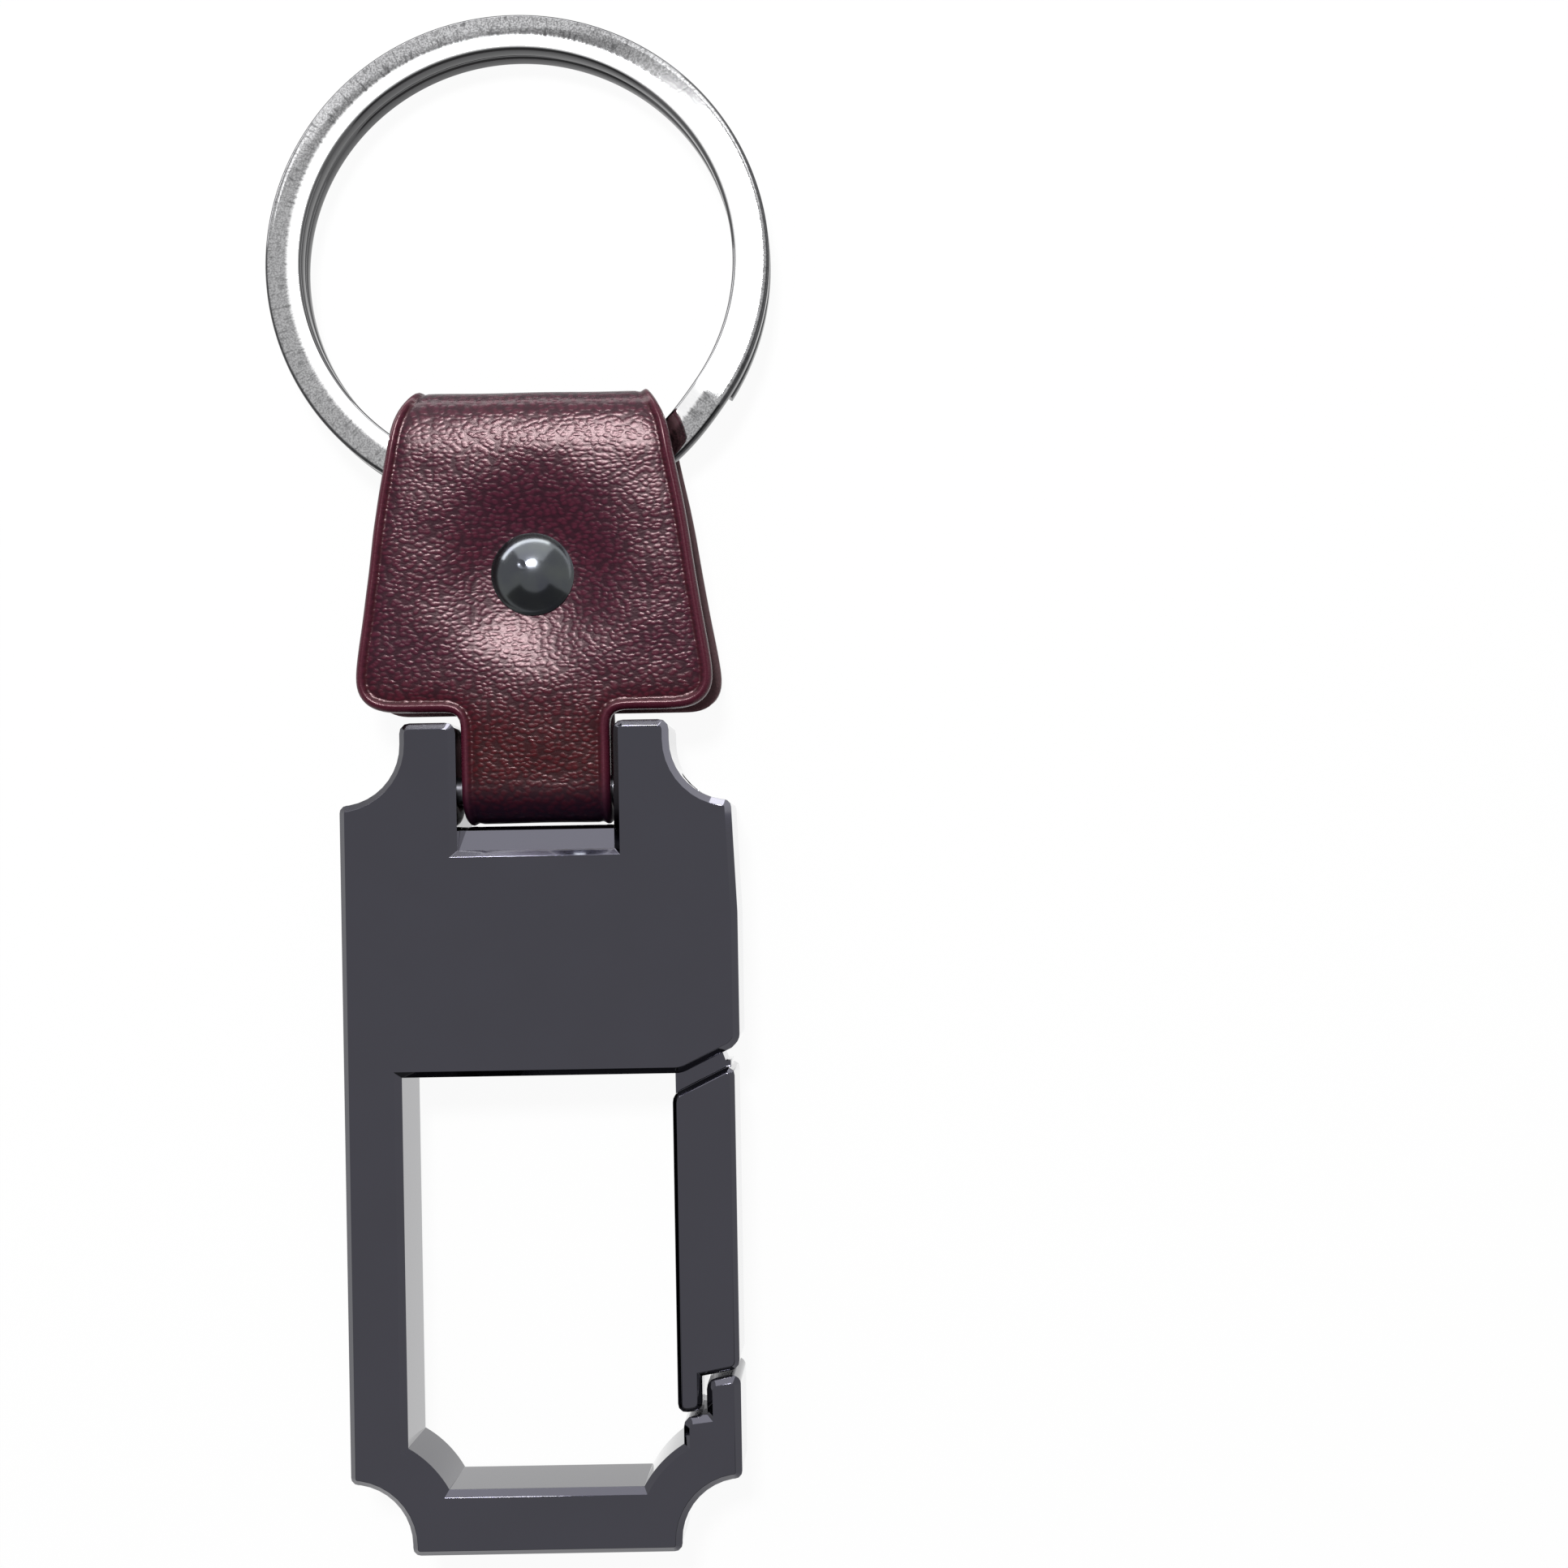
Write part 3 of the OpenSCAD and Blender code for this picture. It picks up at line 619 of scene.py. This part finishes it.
def bent(points, lift, near=0.12):
    """Flat (across, along) points, lifted off the middle line and bent to the strap's shape, in mm."""
    u, s = points[:, 0], points[:, 1]
    y, h, pull = (np.interp(s, ALONG, LINE[:, i]) for i in range(3))
    dy, dh = (np.interp(s + near, ALONG, LINE[:, i]) - np.interp(s - near, ALONG, LINE[:, i])
              for i in range(2))
    size = np.hypot(dy, dh)
    lift = lift - pull * rivet_pull(u, y)
    drift = BACK_DRIFT * np.clip((s - BACK_FROM) / BACK_DRIFT_RUN, 0, 1)
    return np.stack([u + drift, y - dh / size * lift, MID_Z + h + dy / size * lift], axis=1)


def leather_strap():
    """The whole strap as one skin: grain side, flesh side and rounded, beaded edges."""
    outline, holes = strap_outline(), post_holes()
    flat, triangles = cut_flat(outline, holes)
    u, s = flat[:, 0], flat[:, 1]
    from_edge, from_hole = edge_distance(flat, [outline]), edge_distance(flat, holes)

    fall = np.clip(CUT_ROUND - np.minimum(from_edge, from_hole), 0, CUT_ROUND)
    rounding = CUT_ROUND - np.sqrt(np.maximum(CUT_ROUND ** 2 - fall ** 2, 0))
    bead = BEAD_HEIGHT * ridge(from_edge, BEAD_AT, BEAD_REACH) - DIP_DEPTH * ridge(from_edge, DIP_AT, DIP_REACH)
    swell = 0.015 * np.sin(s * 1.7) * np.sin(u * 0.9 + 1)
    squeezed = 0.04 * ridge(s, (WRAP_FROM + FRONT_FROM) / 2, 1.5)
    grain_side = bent(flat, LEATHER / 2 - rounding + bead + swell + squeezed)
    y, panels = (np.interp(s, ALONG, LINE[:, i]) for i in (0, 2))
    flesh_side = bent(flat, -LEATHER / 2 + rounding + panels * ring_groove(u, y))

    count = len(flat)
    sides = [(int(t[i]), int(t[(i + 1) % 3])) for t in triangles for i in range(3)]
    known = set(sides)
    faces = [tuple(t) for t in triangles] + [tuple(t[::-1] + count) for t in triangles]
    faces += [(q, p, p + count, q + count) for p, q in sides if (q, p) not in known]
    mesh = bpy.data.meshes.new("leather_strap_sewn")
    mesh.from_pydata([tuple(v) for v in np.vstack([grain_side, flesh_side]) * MM], [], faces)
    mesh.materials.append(GRAIN)
    mesh.materials.append(FLESH)
    kinds = np.zeros(len(faces), np.int32)
    kinds[len(triangles):2 * len(triangles)] = 1
    mesh.polygons.foreach_set("material_index", kinds)
    lay_out(mesh, "flat_plan", np.vstack([flat, flat]) + np.array([PLAN_UNIT / 2, 0.0]))
    masks = {"rim": 1 - smooth((from_edge - PAINT_TO) / PAINT_FADE),
             "seam": 0.8 * ridge(from_edge, SEAM_AT, SEAM_REACH),
             # Painted shade, strongest on the tongue where it turns round the bar
             "shade": 0.85 * smooth((FRONT_FROM + 1.4 - s) / 3.2)}
    for name, values in masks.items():
        both = np.concatenate([values, values]).astype(np.float32)
        mesh.attributes.new(name, "FLOAT", "POINT").data.foreach_set("value", both)
    work = bmesh.new()
    work.from_mesh(mesh)
    bmesh.ops.delete(work, geom=[v for v in work.verts if not v.link_faces], context="VERTS")
    work.to_mesh(mesh)
    work.free()
    mesh.shade_smooth()
    mesh.set_sharp_from_angle(angle=math.radians(60))
    return mesh


# ==== Winding wire ================================================================================
def winding(name, sizes, section=False):
    """A node tree with a named input for each size, for the finish and, where asked, for the wire's section."""
    tree = bpy.data.node_groups.new(name, "GeometryNodeTree")
    if section:
        tree.interface.new_socket("Section", in_out="INPUT", socket_type="NodeSocketObject")
    for size in sizes:
        tree.interface.new_socket(size, in_out="INPUT", socket_type="NodeSocketFloat")
    tree.interface.new_socket("Finish", in_out="INPUT", socket_type="NodeSocketMaterial")
    tree.interface.new_socket("Geometry", in_out="OUTPUT", socket_type="NodeSocketGeometry")
    start = add(tree, "NodeGroupInput").socket.node
    return tree, {socket.name: Wire(tree, socket) for socket in start.outputs if socket.name}


def wire_line(tree, steps, place):
    """A line of points laid along the wire: place gives each point from its share of the whole run."""
    line = add(tree, "GeometryNodeCurvePrimitiveLine", {}, {"Start": (0, 0, 0), "End": (1, 0, 0)})
    line = add(tree, "GeometryNodeResampleCurve", {}, {"Curve": line, "Count": steps})
    share = add(tree, "GeometryNodeInputIndex") / (steps - 1)
    return add(tree, "GeometryNodeSetPosition", {}, {"Geometry": line, "Position": place(share)})


def wound(name, tree, line, section, finish, values):
    """Sweeps the section along the line, and gives back the plain mesh that comes of it."""
    skin = add(tree, "GeometryNodeCurveToMesh", {},
               {"Curve": line, "Profile Curve": section, "Fill Caps": True})
    skin = add(tree, "GeometryNodeRealizeInstances", {}, {"Geometry": skin})
    skin = add(tree, "GeometryNodeSetMaterial", {}, {"Geometry": skin, "Material": finish})
    add(tree, "NodeGroupOutput", {}, {0: skin})
    holder = placed(name, bpy.data.meshes.new(name + "_blank"))
    modifier = holder.modifiers.new("winding", "NODES")
    modifier.node_group = tree
    for item in tree.interface.items_tree:
        if item.in_out == "INPUT":
            modifier[item.identifier] = values[item.name]
    return finished(holder)


# ==== The split ring ==============================================================================
def ring_section(corner_steps=5, face_steps=12):
    """The flat wire's section: rounded corners, and faces that fall away, most over the inner part."""
    w, t, r = WIRE_W / 2, WIRE_T / 2, WIRE_ROUND
    points = []
    for cx, cy, start in ((w - r, t - r, 0), (r - w, t - r, 90), (r - w, r - t, 180), (w - r, r - t, 270)):
        for i in range(corner_steps + 1):
            a = math.radians(start + 90 * i / corner_steps)
            points.append((cx + r * math.cos(a), cy + r * math.sin(a)))
    full = []
    for (x, y), (next_x, _) in zip(points, points[1:] + points[:1]):
        full.append((x, y))
        if abs(next_x - x) > 1:
            full += [(x + (next_x - x) * k / face_steps, y) for k in range(1, face_steps)]
    fall = [INNER_FALL * max(0.0, x - INNER_FALL_FROM) + OUTER_FALL * max(0.0, -x - OUTER_FALL_FROM)
            for x, _ in full]
    return [(x, y * (1 - drop / t)) for (x, y), drop in zip(full, fall)]


def split_ring():
    """Two turns of flat wire, swept along a line that steps down a level at the crossover."""
    sizes = {"Outer diameter": RING_D * MM, "Wire width": WIRE_W * MM, "Wire thickness": WIRE_T * MM,
             "Turn gap": TURN_GAP * MM, "Crossover at": math.radians(CROSS_AT),
             "Crossover length": math.radians(CROSS_L), "End gap": math.radians(END_GAP)}
    tree, size = winding("wound wire", sizes, section=True)
    cross, gap = size["Crossover length"], size["End gap"]
    run = 4 * math.pi - cross - gap * 2

    def place(share):
        sweep = share * run
        angle = 0 - size["Crossover at"] - cross - gap - sweep
        into = add(tree, "ShaderNodeMapRange", {"interpolation_type": "SMOOTHSTEP"},
                   {"Value": (sweep + gap - 2 * math.pi + cross) / cross})
        level = (size["Wire thickness"] + size["Turn gap"]) / 2 * (1 - into * 2)
        radius = (size["Outer diameter"] - size["Wire width"]) / 2
        return add(tree, "ShaderNodeCombineXYZ", {},
                   {0: angle.math("COSINE") * radius, 1: angle.math("SINE") * radius, 2: level})

    line = wire_line(tree, RING_STEPS, place)
    line = add(tree, "GeometryNodeSetCurveNormal", {"mode": "Z_UP"}, {"Curve": line})
    sweep = add(tree, "GeometryNodeInputIndex") / (RING_STEPS - 1) * run
    line = add(tree, "GeometryNodeStoreNamedAttribute", {"data_type": "FLOAT", "domain": "POINT"},
               {"Geometry": line, "Name": "around", "Value": sweep})
    section = add(tree, "GeometryNodeObjectInfo", {}, {"Object": size["Section"]}, out="Geometry")
    section = add(tree, "GeometryNodeMeshToCurve", {}, {"Mesh": section})

    loop = ring_section()
    drawn = bpy.data.meshes.new("wire_section")
    drawn.from_pydata([(x * MM, y * MM, 0) for x, y in loop],
                      [(i, (i + 1) % len(loop)) for i in range(len(loop))], [])
    drawn = placed("wire_section", drawn)
    mesh = wound("split_ring_wound", tree, line, section, size["Finish"],
                 dict(sizes, Section=drawn, Finish=RING))
    bpy.data.objects.remove(drawn)

    around = np.zeros(len(mesh.vertices), np.float32)
    mesh.attributes["around"].data.foreach_get("value", around)
    places = np.zeros(len(mesh.vertices) * 3, np.float32)
    mesh.vertices.foreach_get("co", places)
    across = np.linalg.norm(places.reshape(-1, 3)[:, :2], axis=1)
    lay_out(mesh, "wire_plan", np.stack([around * RING_D / 2, across / MM], axis=1))
    tilt = Matrix.Rotation(math.radians(-RING_TILT), 4, "X")
    mesh.transform(Matrix.Translation((RING_X * MM, PIVOT_Y * MM, MID_Z * MM)) @ tilt
                   @ Matrix.Translation((0, (RING_Y - PIVOT_Y) * MM, 0)))
    return faced_outwards(mesh, 50)


# ==== The gate's spring ===========================================================================
def coil_spring():
    """The gate's spring: round wire wound in even curls between the channel's end and the shank."""
    middle = (SPRING_LOW + SPRING_HIGH) / 2
    sizes = {"Coil radius": (SPRING_HIGH.z - SPRING_LOW.z - SPRING_WIRE) / 2 * MM,
             "Wire radius": SPRING_WIRE / 2 * MM,
             "Run": (SPRING_HIGH.x - SPRING_LOW.x - SPRING_WIRE) * MM,
             "Curls": float(SPRING_CURLS)}
    tree, size = winding("coiled wire", sizes)

    def place(share):
        turn = share * size["Curls"] * (2 * math.pi)
        return add(tree, "ShaderNodeCombineXYZ", {},
                   {0: share * size["Run"], 1: turn.math("COSINE") * size["Coil radius"],
                    2: turn.math("SINE") * size["Coil radius"]})

    line = wire_line(tree, SPRING_CURLS * SPRING_CURL_STEPS + 1, place)
    section = add(tree, "GeometryNodeCurvePrimitiveCircle", {},
                  {"Resolution": 12, "Radius": size["Wire radius"]})
    mesh = wound("gate_spring_wound", tree, line, section, size["Finish"], dict(sizes, Finish=SPRING_STEEL))
    mesh.transform(Matrix.Translation(Vector((SPRING_LOW.x + SPRING_WIRE / 2, middle.y, middle.z)) * MM))
    return faced_outwards(mesh, 50)


# ==== The rivet's heads ===========================================================================
def rivet_head(name, low, high, height, up, steps=21):
    """A domed head with a rolled rim, and a small dent left by the setting tool on the front one."""
    radius = (high.x - low.x) / 2
    ball = (radius ** 2 + height ** 2) / (2 * height)
    profile = [(0.0, height)]
    for i in range(1, steps + 1):
        r = radius * 0.965 * i / steps
        profile.append((r, height - ball + math.sqrt(ball * ball - r * r)))
    edge = profile[-1][1]
    profile += [(radius * 0.985, edge * 0.62), (radius, edge * 0.25), (radius * 0.99, 0.0),
                (radius * 0.9, -0.02), (0.0, -0.02)]

    def dented(points):
        if up > 0:
            away = np.hypot(points[..., 0] - DENT_X, points[..., 1] - DENT_Y)
            points[..., 2] -= 0.035 * ridge(away, 0, 0.16) - 0.02 * ridge(away, 0.3, 0.1)
        points[..., 2] *= up
        return points

    seat = high.z - height if up > 0 else low.z + height
    return turned(name, profile, (0, RIVET_Y, seat), RIVET, dented)


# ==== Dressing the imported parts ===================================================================
NICKEL, RING, RIVET = black_nickel(), ring_steel(), rivet_metal()
GRAIN, FLESH = grain_leather(), suede()
SPRING_STEEL = plain_steel("spring_steel", sRGB(196, 196, 200), 0.25)
PIN_STEEL = plain_steel("pin_steel", sRGB(206, 202, 196), 0.22)
BAR_STEEL = plain_steel("bar_steel", sRGB(120, 120, 126), 0.25)

for node, material in (("gate_pin", PIN_STEEL), ("strap_bar", BAR_STEEL)):
    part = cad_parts[node]
    part.data.materials.clear()
    part.data.materials.append(material)

keep_mesh("hook_frame", broken_edges("carabiner_body", NICKEL, width_mm=0.1),
          "hook", "carabiner_body")
keep_mesh("hook_gate", broken_edges("gate", NICKEL, width_mm=0.08), "gate", "gate")
spring = keep_mesh("spring_of_gate", coil_spring(), "hook", "gate_spring")
strap = keep_mesh("strap_leather", leather_strap(), None, "leather_strap")
keep_mesh("rivet_front", rivet_head("rivet_front", CAP_LOW, CAP_HIGH, CAP_HEIGHT, 1),
          "strap", "rivet_cap")
keep_mesh("rivet_back", rivet_head("rivet_back", BASE_LOW, BASE_HIGH, BASE_HEIGHT, -1),
          "strap", "rivet_base")
keep_mesh("key_ring", split_ring(), "ring", "split_ring")
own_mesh(spring)
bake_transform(strap)


# ==== Table, light and camera =====================================================================
def background(tree, rays, plain, shown):
    """Mixes a plain surface with a white one that the named kinds of ray see."""
    path = add(tree, "ShaderNodeLightPath").socket.node
    seen, *others = [Wire(tree, path.outputs[name]) * share for name, share in rays]
    for other in others:
        seen = seen.math("MAXIMUM", other)
    return add(tree, "ShaderNodeMixShader", {}, {0: seen, 1: plain, 2: shown})


def white_world(level):
    """An even white room that lights the object less than it shows in the picture."""
    world = bpy.data.worlds.new("white_studio")
    bpy.context.scene.world = world
    world.use_nodes = True
    tree = world.node_tree
    tree.nodes.clear()
    plain = add(tree, "ShaderNodeBackground", {}, {"Color": (1, 1, 1, 1), "Strength": level})
    shown = add(tree, "ShaderNodeBackground", {}, {"Color": (1, 1, 1, 1), "Strength": 1.0})
    rays = [("Is Camera Ray", 1.0), ("Is Glossy Ray", 1.0), ("Is Transmission Ray", 1.0)]
    both = background(tree, rays, plain, shown)
    add(tree, "ShaderNodeOutputWorld", {}, {"Surface": both})


def white_table(half_side=600, height=-0.02):
    """A white table top, a hair below the object, that takes a faint shadow."""
    mesh = bpy.data.meshes.new("table")
    mesh.from_pydata([(x * half_side * MM, y * half_side * MM, height * MM)
                      for x, y in ((-1, -1), (1, -1), (1, 1), (-1, 1))], [], [(0, 1, 2, 3)])
    f = Finish("white_table")
    plain = f.add("ShaderNodeBsdfDiffuse", {}, {"Color": (0.86, 0.86, 0.86, 1)})
    shown = f.add("ShaderNodeEmission", {}, {"Color": (1, 1, 1, 1), "Strength": 1.0})
    rays = [("Is Camera Ray", 0.94), ("Is Glossy Ray", 1.0), ("Is Transmission Ray", 0.94)]
    both = background(f.tree, rays, plain, shown)
    f.add("ShaderNodeOutputMaterial", {}, {"Surface": both})
    mesh.materials.append(f.material)
    placed("table", mesh)


def mirrored_card(name, verts, faces, level):
    """A card that is seen only in glossy surfaces."""
    mesh = bpy.data.meshes.new(name)
    mesh.from_pydata([tuple(c * MM for c in v) for v in verts], [], faces)
    f = Finish(name)
    glow = f.add("ShaderNodeEmission", {}, {"Color": (level, level, level, 1), "Strength": 1.0})
    f.add("ShaderNodeOutputMaterial", {}, {"Surface": glow})
    mesh.materials.append(f.material)
    card = placed(name, mesh)
    card.visible_camera = card.visible_diffuse = card.visible_shadow = card.visible_transmission = False


def standing_card(name, directions, lifts, level, distance=420, steps=32):
    """A card that stands round the table, between two directions and two lifts, in degrees."""
    turns = np.radians(np.linspace(*directions, steps + 1))
    heights = [distance * math.tan(math.radians(lift)) for lift in lifts]
    verts = [(distance * math.cos(a), distance * math.sin(a), h) for h in heights for a in turns]
    mirrored_card(name, verts, [(i, i + 1, i + steps + 2, i + steps + 1) for i in range(steps)], level)


def hanging_card(name, x, y, height, level):
    """A level card above the table, from and to an x and a y."""
    verts = [(x[0], y[0], height), (x[1], y[0], height), (x[1], y[1], height), (x[0], y[1], height)]
    mirrored_card(name, verts, [(0, 1, 2, 3)], level)


def soft_light(name, place, aim, size, power):
    """A soft rectangular lamp, turned towards its aim."""
    lamp = bpy.data.lights.new(name, "AREA")
    lamp.shape, lamp.size, lamp.size_y = "RECTANGLE", size[0] * MM, size[1] * MM
    lamp.energy = power
    holder = placed(name, lamp)
    holder.location = Vector(place) * MM
    holder.rotation_euler = (Vector(aim) - Vector(place)).to_track_quat("-Z", "Y").to_euler()


def camera(eye, height, frame_middle, frame_width, turn, sensor=36.0):
    """Looks straight down from a height above the hook's front face, with the view shifted to the
    photograph's frame, whose middle and width are measured on that face."""
    lens = bpy.data.cameras.new("camera")
    lens.sensor_width = sensor
    lens.lens = sensor * height / frame_width
    lens.clip_start, lens.clip_end = 0.01, 10
    turn, off = math.radians(turn), Vector(frame_middle) - Vector(eye)
    lens.shift_x = (off.x * math.cos(turn) + off.y * math.sin(turn)) / frame_width
    lens.shift_y = (off.y * math.cos(turn) - off.x * math.sin(turn)) / frame_width
    holder = placed("camera", lens)
    holder.location = Vector((*eye, BODY_TOP + height)) * MM
    holder.rotation_euler = (0, 0, turn)
    bpy.context.scene.camera = holder


white_world(level=0.38)
white_table()
soft_light("window_light", place=(-30, 185, 330), aim=(0, 15, 0), size=(80, 70), power=1.3)
hanging_card("window_glare", x=(-72, 12), y=(150, 218), height=329, level=120.0)
standing_card("bright_card", directions=(62, 128), lifts=(12, 54), level=3.0)
standing_card("edge_card", directions=(74, 142), lifts=(0, 12), level=12.0, distance=150)
standing_card("side_card", directions=(8, 74), lifts=(0, 12), level=3.0, distance=150)
standing_card("dark_card", directions=(205, 335), lifts=(11, 56), level=0.25)
camera(eye=(21.0, 5.0), height=113.0, frame_middle=(15.56, 10.84), frame_width=97.4, turn=-1.0)
bpy.context.scene.view_settings.view_transform = "Standard"
